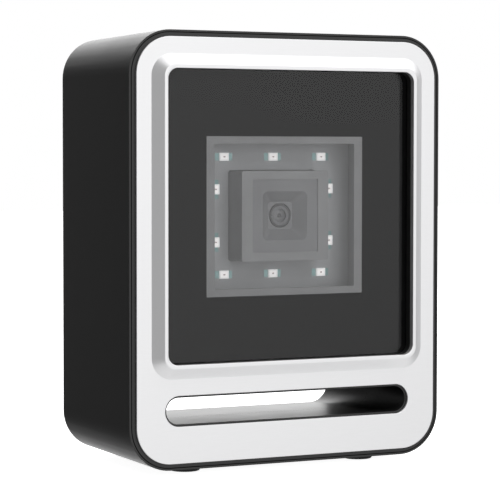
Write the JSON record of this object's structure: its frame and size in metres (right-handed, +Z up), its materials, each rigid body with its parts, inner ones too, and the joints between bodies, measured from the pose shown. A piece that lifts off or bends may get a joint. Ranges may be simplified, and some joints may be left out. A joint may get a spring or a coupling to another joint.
{
  "type": "presentation bar code scanner",
  "caption": "Upright box-shaped counter scanner with a silver framed window, camera and lamps behind the glass, a through slot and rubber feet.",
  "frame": {"origin": "on the surface it stands on, under the middle of its box", "axes": "+Z up, -Y out of the window towards the user, +X to the right as the user faces the window"},
  "size_m": [0.122, 0.0662, 0.152],
  "materials": {
    "black_abs": "fine satin texture",
    "silver_plate": "satin, very fine brushing",
    "window_glass": "polished",
    "black_ink": "smooth print",
    "adhesive_tape": "matt",
    "foot_rubber": "matt",
    "grey_diffuser": "matt",
    "black_board": "solder mask",
    "green_board": "solder mask",
    "led_white": "moulded",
    "led_gel": "clear gel over phosphor",
    "tinned_pad": "tinned copper under clear lacquer",
    "chip_epoxy": "moulded epoxy",
    "camera_plastic": "matt moulded",
    "black_anodised": "black anodised",
    "coated_lens": "polished, coated",
    "sensor_glass": "polished",
    "carrier_plastic": "matt moulded",
    "capacitor_can": "drawn can",
    "connector_nylon": "moulded",
    "ribbon_film": "laminated film",
    "buzzer_case": "moulded",
    "socket_nylon": "moulded",
    "gold_contact": "gold plated",
    "zinc_steel": "zinc plated"
  },
  "bodies": {
    "scanner_body": {"rear_housing": "black_abs", "front_frame": "black_abs", "bezel_plate": "silver_plate", "bezel_tape": "adhesive_tape", "scan_window": "window_glass", "window_border": "black_ink", "window_tape": "adhesive_tape", "foot_front_left": "foot_rubber", "foot_rear_left": "foot_rubber", "foot_front_right": "foot_rubber", "foot_rear_right": "foot_rubber", "light_shroud": "grey_diffuser", "led_board": "black_board", "led_packages": "led_white", "led_phosphors": "led_gel", "led_pads": "tinned_pad", "led_resistors": "chip_epoxy", "camera_hood": "camera_plastic", "hood_gasket": "adhesive_tape", "lens_holder": "camera_plastic", "image_sensor": "sensor_glass", "sensor_board": "black_board", "inner_chassis": "carrier_plastic", "decoder_board": "green_board", "processor_chip": "chip_epoxy", "memory_chips": "chip_epoxy", "capacitors": "capacitor_can", "sensor_connector": "connector_nylon", "decoder_connector": "connector_nylon", "ribbon_cable": "ribbon_film", "buzzer": "buzzer_case", "cable_socket": "socket_nylon", "socket_contacts": "gold_contact", "housing_screws": "zinc_steel", "chassis_screws": "zinc_steel", "engine_screws": "zinc_steel", "decoder_screws": "zinc_steel"},
    "focus_barrel": {"lens_barrel": "black_anodised", "lens_retaining_ring": "black_anodised", "lens_element": "coated_lens"}
  },
  "joints": [
    {"name": "lens_focus", "type": "hinge", "parent": "scanner_body", "child": "focus_barrel", "pos_m": [0, -0.01825, 0.0883], "axis": [0, 1, 0], "range_deg": [-180, 180]}
  ]
}
